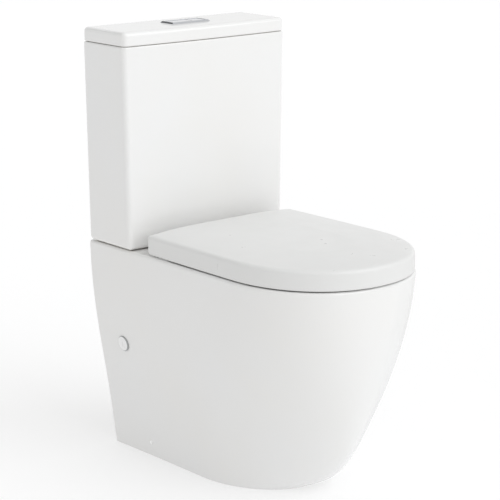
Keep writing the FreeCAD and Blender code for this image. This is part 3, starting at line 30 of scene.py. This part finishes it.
class Mat:
    """A Principled material with small helpers for its node tree."""

    def __init__(self, name, color, rough, metallic=0.0, ior=1.5, spec=0.5, coat=0.0, coat_rough=0.03, sheen=0.0,
                 subsurface=0.0, anisotropic=0.0):
        self.m = bpy.data.materials.new(name)
        self.m.use_nodes = True
        self.nt = self.m.node_tree
        self.nt.nodes.clear()
        self.out = self.nt.nodes.new("ShaderNodeOutputMaterial")
        self.p = self.nt.nodes.new("ShaderNodeBsdfPrincipled")
        self.nt.links.new(self.p.outputs[0], self.out.inputs[0])
        self.put("Base Color", (*color, 1.0))
        self.put("Roughness", rough)
        self.put("Metallic", metallic)
        self.put("IOR", ior)
        self.put("Specular IOR Level", spec)
        self.put("Coat Weight", coat)
        self.put("Coat Roughness", coat_rough)
        self.put("Sheen Weight", sheen)
        self.put("Anisotropic", anisotropic)
        self.put("Subsurface Weight", subsurface)
        self.put("Subsurface Scale", 0.004)
        where = self.nt.nodes.new("ShaderNodeTexCoord")
        self.coord = where.outputs["Object"]
        self.normal = where.outputs["Normal"]
        self.height = None

    def put(self, socket, value):
        self.p.inputs[socket].default_value = value

    def link(self, a, b):
        self.nt.links.new(a, b)
        return self

    def mapped(self, scale=(1, 1, 1), turn=(0, 0, 0), move=(0, 0, 0)):
        n = self.nt.nodes.new("ShaderNodeMapping")
        n.inputs["Scale"].default_value = scale
        n.inputs["Rotation"].default_value = turn
        n.inputs["Location"].default_value = move
        self.link(self.coord, n.inputs["Vector"])
        return n.outputs[0]

    def noise(self, scale, detail=2.0, rough=0.5, distort=0.0, vector=None):
        n = self.nt.nodes.new("ShaderNodeTexNoise")
        n.inputs["Scale"].default_value = scale
        n.inputs["Detail"].default_value = detail
        n.inputs["Roughness"].default_value = rough
        n.inputs["Distortion"].default_value = distort
        self.link(vector or self.coord, n.inputs["Vector"])
        return n.outputs["Fac"]

    def voronoi(self, scale, feature="F1", vector=None, randomness=1.0):
        n = self.nt.nodes.new("ShaderNodeTexVoronoi")
        n.feature = feature
        n.inputs["Scale"].default_value = scale
        n.inputs["Randomness"].default_value = randomness
        self.link(vector or self.coord, n.inputs["Vector"])
        return n.outputs["Distance"]

    def ramp(self, fac, stops):
        n = self.nt.nodes.new("ShaderNodeValToRGB")
        while len(n.color_ramp.elements) < len(stops):
            n.color_ramp.elements.new(0.5)
        for e, (pos, value) in zip(n.color_ramp.elements, stops):
            e.position = pos
            e.color = (*value, 1.0) if isinstance(value, tuple) else (value, value, value, 1.0)
        self.link(fac, n.inputs[0])
        return n.outputs[0]

    def span(self, fac, lo, hi, to_lo, to_hi):
        n = self.nt.nodes.new("ShaderNodeMapRange")
        for socket, value in zip(("From Min", "From Max", "To Min", "To Max"), (lo, hi, to_lo, to_hi)):
            n.inputs[socket].default_value = value
        self.link(fac, n.inputs["Value"])
        return n.outputs[0]

    def math(self, op, a, b=None):
        n = self.nt.nodes.new("ShaderNodeMath")
        n.operation = op
        for i, v in enumerate((a, b)):
            if v is None:
                continue
            if isinstance(v, (int, float)):
                n.inputs[i].default_value = v
            else:
                self.link(v, n.inputs[i])
        return n.outputs[0]

    def mix(self, fac, a, b, kind="RGBA"):
        n = self.nt.nodes.new("ShaderNodeMix")
        n.data_type = kind
        first = {"RGBA": 6, "FLOAT": 2}[kind]
        for i, v in ((0, fac), (first, a), (first + 1, b)):
            if isinstance(v, (int, float)):
                n.inputs[i].default_value = v
            elif isinstance(v, tuple):
                n.inputs[i].default_value = (*v, 1.0)
            else:
                self.link(v, n.inputs[i])
        return n.outputs[{"RGBA": 2, "FLOAT": 0}[kind]]

    def outward(self, x, y):
        """How far a face looks away from an upright axis, in metres."""
        arm = self.nt.nodes.new("ShaderNodeVectorMath")
        arm.operation = "SUBTRACT"
        self.link(self.coord, arm.inputs[0])
        arm.inputs[1].default_value = (x, y, 0.0)
        flat = self.nt.nodes.new("ShaderNodeVectorMath")
        flat.operation = "MULTIPLY"
        self.link(arm.outputs[0], flat.inputs[0])
        flat.inputs[1].default_value = (1.0, 1.0, 0.0)
        n = self.nt.nodes.new("ShaderNodeVectorMath")
        n.operation = "DOT_PRODUCT"
        self.link(flat.outputs[0], n.inputs[0])
        self.link(self.normal, n.inputs[1])
        return n.outputs["Value"]

    def part_of(self, vector, axis):
        n = self.nt.nodes.new("ShaderNodeSeparateXYZ")
        self.link(vector, n.inputs[0])
        return n.outputs[axis]

    def bump(self, height, strength, distance):
        """Another layer of relief on top of what is there."""
        n = self.nt.nodes.new("ShaderNodeBump")
        n.inputs["Strength"].default_value = strength
        n.inputs["Distance"].default_value = distance
        self.link(height, n.inputs["Height"])
        if self.height is not None:
            self.link(self.height, n.inputs["Normal"])
        self.height = n.outputs[0]
        self.link(self.height, self.p.inputs["Normal"])
        return self

    def color(self, socket):
        return self.link(socket, self.p.inputs["Base Color"])

    def roughness(self, socket):
        return self.link(socket, self.p.inputs["Roughness"])


def ceramic(name, tone=(0.80, 0.80, 0.795), unglazed=None):
    """White glaze over vitreous china: a hard gloss with the slow waviness of a
    cast body, a faint orange peel, and a few pin marks. unglazed(k) says where
    the glaze stops and the bare, chalky body shows: 1 is bare."""
    k = Mat(name, tone, 0.09, ior=1.52, spec=0.58)
    cloud = k.noise(3.1, 3.0, 0.55)
    warm = tuple(c * f for c, f in zip(tone, (0.992, 0.985, 0.972)))
    cool = tuple(c * f for c, f in zip(tone, (1.0, 1.004, 1.010)))
    base = k.mix(k.span(cloud, 0.3, 0.7, 0.0, 1.0), warm, cool)
    pin = k.voronoi(26.0)
    base = k.mix(k.ramp(pin, [(0.0, 1.0), (0.010, 0.6), (0.018, 0.0)]), base, (0.70, 0.685, 0.655))
    rough = k.span(k.noise(14.0, 4.0, 0.6), 0.3, 0.75, 0.06, 0.15)
    if unglazed:
        bare = unglazed(k)
        chalk = k.mix(k.noise(42.0, 6.0, 0.65), (0.60, 0.565, 0.50), (0.74, 0.71, 0.65))
        base = k.mix(bare, base, chalk)
        rough = k.mix(bare, rough, k.span(k.noise(90.0, 4.0), 0.3, 0.7, 0.72, 0.92), "FLOAT")
    k.color(base)
    k.roughness(rough)
    k.bump(k.noise(7.0, 1.0, 0.4), 0.30, 0.0022)
    k.bump(k.noise(260.0, 2.0, 0.5), 0.10, 0.0004)
    return k.m


def skirt_bare(k):
    inside = k.span(k.outward(0.0, 0.05), -0.001, -0.012, 0.0, 1.0)
    below = k.span(k.part_of(k.normal, 2), -0.95, -0.99, 0.0, 1.0)
    return k.math("MAXIMUM", inside, below)


def bowl_bare(k):
    outside = k.span(k.outward(0.0, -0.085), 0.002, 0.012, 0.0, 1.0)
    not_top = k.span(k.part_of(k.normal, 2), 0.5, 0.7, 1.0, 0.0)
    return k.math("MULTIPLY", outside, not_top)


def tank_bare(k):
    inside = k.span(k.outward(0.0, 0.237), -0.001, -0.010, 0.0, 1.0)
    up = k.span(k.part_of(k.normal, 2), 0.9, 0.98, 0.0, 1.0)
    low = k.span(k.part_of(k.coord, 2), 0.44, 0.43, 0.0, 1.0)
    under = k.span(k.part_of(k.normal, 2), -0.9, -0.98, 0.0, 1.0)
    return k.math("MAXIMUM", k.math("MAXIMUM", inside, k.math("MULTIPLY", up, low)), under)


def cover_bare(k):
    return k.span(k.part_of(k.normal, 2), -0.7, -0.95, 0.0, 1.0)


glaze = ceramic("glazed_ceramic")
CERAMIC = {
    "pan_skirt": ceramic("glaze_pan_skirt", unglazed=skirt_bare),
    "pan_bowl": ceramic("glaze_pan_bowl", unglazed=bowl_bare),
    "pan_outlet": ceramic("bare_outlet", unglazed=lambda k: k.span(k.part_of(k.coord, 1), 0.20, 0.21, 0.0, 1.0)),
    "cistern_body": ceramic("glaze_cistern", unglazed=tank_bare),
    "cistern_lid": ceramic("glaze_cistern_lid", unglazed=cover_bare),
}


def seat_plastic():
    """Pressed thermoset: dense and smooth, a little less shiny than the glaze."""
    k = Mat("seat_thermoset", (0.72, 0.72, 0.71), 0.3, ior=1.5, spec=0.4, coat=0.05, coat_rough=0.15)
    k.color(k.mix(k.noise(5.0, 4.0, 0.6), (0.705, 0.705, 0.692), (0.73, 0.731, 0.724)))
    k.roughness(k.span(k.noise(24.0, 5.0, 0.6), 0.3, 0.7, 0.27, 0.38))
    return k.m


seat = seat_plastic()


def cap_plastic(name, tone, gap_shade=None):
    """Moulded white snap cap. The last argument is (y, z, inner, outer) in metres:
    painted shade, a grey ring round the cap between those distances from its middle, standing in for the shadow
    in the gap round it."""
    k = Mat(name, tone, 0.32)
    base = k.mix(k.noise(60, 3), tuple(c * 0.975 for c in tone), tuple(min(1.0, c * 1.02) for c in tone))
    if gap_shade:
        arm = k.nt.nodes.new("ShaderNodeVectorMath")
        arm.operation = "SUBTRACT"
        k.link(k.coord, arm.inputs[0])
        arm.inputs[1].default_value = (0.0, gap_shade[0], gap_shade[1])
        flat = k.nt.nodes.new("ShaderNodeVectorMath")
        flat.operation = "MULTIPLY"
        k.link(arm.outputs[0], flat.inputs[0])
        flat.inputs[1].default_value = (0.0, 1.0, 1.0)
        far = k.nt.nodes.new("ShaderNodeVectorMath")
        far.operation = "LENGTH"
        k.link(flat.outputs[0], far.inputs[0])
        # painted shade: greys the cap from the inner distance outwards, in place of the shadow in the gap round
        # the cap
        base = k.mix(k.span(far.outputs["Value"], gap_shade[2], gap_shade[3], 0.0, 1.0), base, (0.36, 0.37, 0.37))
    k.color(base)
    k.roughness(k.span(k.noise(160, 4), 0.3, 0.7, 0.26, 0.40))
    k.bump(k.noise(900, 2), 0.15, 0.0002)
    return k.m


def chrome_plate():
    """Bright chrome over a polished base, with faint wipe marks."""
    k = Mat("chrome_plate", (0.60, 0.61, 0.635), 0.07, metallic=1.0)
    wipe = k.noise(55.0, 5.0, 0.65, vector=k.mapped((1.0, 7.0, 3.0), (0.0, 0.0, 0.4)))
    k.roughness(k.span(wipe, 0.35, 0.7, 0.05, 0.13))
    k.color(k.mix(k.noise(30, 3), (0.585, 0.595, 0.62), (0.625, 0.635, 0.655)))
    k.bump(k.noise(38.0, 2.0), 0.10, 0.0005)
    return k.m


def turned_steel():
    k = Mat("turned_steel", (0.58, 0.58, 0.57), 0.28, metallic=1.0, anisotropic=0.4)
    lines = k.noise(900.0, 2.0, 0.5, vector=k.mapped((0.05, 0.05, 1.0)))
    k.roughness(k.span(lines, 0.3, 0.7, 0.2, 0.4))
    k.color(k.mix(k.noise(120, 4), (0.52, 0.52, 0.52), (0.64, 0.635, 0.625)))
    k.bump(lines, 0.25, 0.0002)
    return k.m


def brass():
    k = Mat("plain_brass", (0.62, 0.44, 0.17), 0.32, metallic=1.0)
    dull = k.noise(90, 5, 0.65)
    k.color(k.mix(dull, (0.52, 0.36, 0.14), (0.70, 0.52, 0.23)))
    k.roughness(k.span(dull, 0.3, 0.7, 0.42, 0.24))
    k.bump(k.noise(500, 3), 0.25, 0.0002)
    return k.m


def rubber(name, color):
    k = Mat(name, color, 0.78, sheen=0.15)
    k.color(k.mix(k.noise(150, 5, 0.65), tuple(c * 0.8 for c in color), tuple(min(1, c * 1.25) for c in color)))
    k.roughness(k.span(k.noise(300, 3), 0.3, 0.7, 0.68, 0.9))
    k.bump(k.noise(1100, 3), 0.35, 0.0002)
    return k.m


def moulded(name, color, rough=0.42):
    """Injection moulded plastic with a fine spark-eroded texture."""
    k = Mat(name, color, rough, subsurface=0.0)
    k.color(k.mix(k.noise(45, 4, 0.6), tuple(c * 0.94 for c in color), tuple(min(1, c * 1.05) for c in color)))
    k.roughness(k.span(k.noise(220, 4), 0.3, 0.7, rough - 0.08, rough + 0.1))
    k.bump(k.noise(18, 2), 0.15, 0.0008)
    k.bump(k.noise(1300, 2), 0.25, 0.0001)
    return k.m


# access caps: white plastic with painted shade, a grey ring at the rim in place of the shadow in the gap round
# each cap
access_caps_gap_shaded = cap_plastic("cap_plastic", (0.86, 0.86, 0.855), (0.226, 0.221, 0.0130, 0.0138))
small_caps = cap_plastic("small_cap_plastic", (0.93, 0.93, 0.925))
chrome = chrome_plate()
steel = turned_steel()
yellow_metal = brass()
black_rubber = rubber("black_rubber", (0.025, 0.025, 0.026))
grey_buffer = rubber("pale_buffer", (0.62, 0.62, 0.61))
white_valve = moulded("valve_plastic", (0.72, 0.73, 0.74))
blue_valve = moulded("accent_plastic", (0.055, 0.16, 0.34))

BY_SLOT = {
    "glazed_ceramic": glaze,
    "seat_plastic": seat,
    "cap_plastic": access_caps_gap_shaded,
    "chrome": chrome,
    "steel": steel,
    "brass": yellow_metal,
    "rubber": black_rubber,
    "valve_plastic": white_valve,
    "accent_plastic": blue_valve,
}
BY_NODE = {"screw_caps": small_caps, "ring_buffers": grey_buffer, "lid_buffers": grey_buffer, **CERAMIC}

for part in frame["record"]["subparts"]:
    o = nodes[part["node"]]
    m = BY_NODE.get(part["node"], BY_SLOT[part["material_slot"]])
    if not o.material_slots:
        o.data.materials.append(m)
    for s in o.material_slots:
        s.link = "OBJECT"
        s.material = m

# ------------------------------------------------------------- camera and room

FLOOR = 0.0


def stage_object(name, verts, faces, material):
    mesh = bpy.data.meshes.new(name)
    mesh.from_pydata(verts, [], faces)
    mesh.materials.append(material)
    o = bpy.data.objects.new(name, mesh)
    scene.collection.objects.link(o)
    return o


def floor_material():
    """A pale shooting table, lit from below as well, so that the shadow stays light."""
    k = Mat("studio_floor", (0.50, 0.50, 0.50), 0.75, spec=0.2)
    k.color(k.mix(k.noise(0.8, 4), (0.495, 0.495, 0.495), (0.505, 0.505, 0.505)))
    k.put("Emission Color", (1.0, 1.0, 1.0, 1.0))
    k.put("Emission Strength", 0.48)
    k.bump(k.noise(60, 3), 0.02, 0.0004)
    return k.m


rim = 64
radius = 60.0
ring = [(radius * math.cos(2 * math.pi * i / rim), radius * math.sin(2 * math.pi * i / rim), FLOOR - 0.0002) for i in range(rim)]
floor = stage_object("studio_floor", ring, [list(range(rim))], floor_material())

world = bpy.data.worlds.new("studio")
scene.world = world
world.use_nodes = True


def studio_world():
    """An even white room with a brighter backdrop behind the toilet, and one
    dark gap high at the back for the chrome to pick up."""
    nt = world.node_tree
    nt.nodes.clear()
    out = nt.nodes.new("ShaderNodeOutputWorld")
    bg = nt.nodes.new("ShaderNodeBackground")
    nt.links.new(bg.outputs[0], out.inputs[0])
    bg.inputs["Color"].default_value = (1.0, 1.0, 1.0, 1.0)
    way = nt.nodes.new("ShaderNodeTexCoord").outputs["Generated"]

    def along(x, y, z):
        n = nt.nodes.new("ShaderNodeVectorMath")
        n.operation = "DOT_PRODUCT"
        nt.links.new(way, n.inputs[0])
        n.inputs[1].default_value = (x, y, z)
        return n.outputs["Value"]

    def span(fac, lo, hi, to_lo, to_hi):
        n = nt.nodes.new("ShaderNodeMapRange")
        n.interpolation_type = "SMOOTHSTEP"
        for socket, value in zip(("From Min", "From Max", "To Min", "To Max"), (lo, hi, to_lo, to_hi)):
            n.inputs[socket].default_value = value
        nt.links.new(fac, n.inputs["Value"])
        return n.outputs[0]

    def math_node(op, a, b):
        n = nt.nodes.new("ShaderNodeMath")
        n.operation = op
        for i, v in enumerate((a, b)):
            if isinstance(v, float):
                n.inputs[i].default_value = v
            else:
                nt.links.new(v, n.inputs[i])
        return n.outputs[0]

    backdrop = math_node("MULTIPLY", span(along(0.55, 0.83, 0.0), 0.15, 0.8, 0.0, 1.0), span(along(0, 0, 1), 0.28, 0.55, 1.0, 0.0))
    light = math_node("ADD", math_node("MULTIPLY", backdrop, 0.27), 0.67)
    gap = span(along(-0.235, 0.740, 0.631), 0.958, 0.982, 1.0, 0.03)
    nt.links.new(math_node("MULTIPLY", light, gap), bg.inputs["Strength"])


studio_world()


def soft_sun(name, azimuth, height, spread, irradiance, tint=(1, 1, 1)):
    """A wide, far light: azimuth from the toilet's front towards its left hand
    side as it faces us, height above the floor, and full spread, in degrees."""
    lamp = bpy.data.lights.new(name, "SUN")
    lamp.energy = irradiance
    lamp.angle = math.radians(spread)
    lamp.color = tint
    o = bpy.data.objects.new(name, lamp)
    scene.collection.objects.link(o)
    az, el = math.radians(azimuth), math.radians(height)
    towards = Vector((math.sin(az) * math.cos(el), -math.cos(az) * math.cos(el), math.sin(el)))
    o.location = towards * 8
    o.rotation_mode = "QUATERNION"
    o.rotation_quaternion = (-towards).to_track_quat("-Z", "Y")
    return o


soft_sun("key_bank", 20, 36, 60, 1.20, (0.97, 0.985, 1.0))
soft_sun("ceiling_bank", 0, 88, 110, 0.42)


def reflection_card():
    """A pale card beside the pan's far side, standing on the floor and lying
    along it. Only reflections see it: it draws the edge of the glaze."""
    k = Mat("card_pale", (0.5, 0.5, 0.5), 0.8, spec=0.2)
    k.color(k.mix(k.noise(9.0, 3.0), (0.49, 0.49, 0.49), (0.51, 0.51, 0.51)))
    k.put("Emission Color", (1.0, 1.0, 1.0, 1.0))
    k.put("Emission Strength", 0.36)
    foot = [(0.44, 0.52), (0.56, 0.34), (0.66, 0.16), (0.71, 0.0), (0.72, -0.16), (0.68, -0.34), (0.60, -0.50)]
    verts = []
    for x, y in foot:
        verts += [(x * 0.25, y * 0.25, 0.0015), (x, y, 0.0015), (x * 1.04, y * 1.04, 0.42)]
    faces = []
    for i in range(len(foot) - 1):
        for a in (0, 1):
            faces.append((3 * i + a, 3 * i + 3 + a, 3 * i + 4 + a, 3 * i + 1 + a))
    o = stage_object("reflection_card", verts, faces, k.m)
    o.visible_camera = False
    o.visible_diffuse = False
    o.visible_shadow = False
    o.visible_transmission = False


reflection_card()

cam_data = bpy.data.cameras.new("camera")
cam = bpy.data.objects.new("camera", cam_data)
scene.collection.objects.link(cam)
target = Vector((0.0, 0.0461, 0.42655))
forward = Vector((0.6308, 0.7393, -0.2355)).normalized()
cam.location = target - forward * 3.32406
cam.rotation_mode = "QUATERNION"
cam.rotation_quaternion = forward.to_track_quat("-Z", "Y")
cam_data.sensor_width = 36.0
cam_data.lens = 130.8
cam_data.shift_x = -0.0038
cam_data.shift_y = -0.0186
cam_data.clip_end = 300.0
scene.camera = cam

scene.view_settings.view_transform = "Standard"
scene.view_settings.look = "None"
scene.view_settings.exposure = 0.0
scene.view_settings.gamma = 1.0
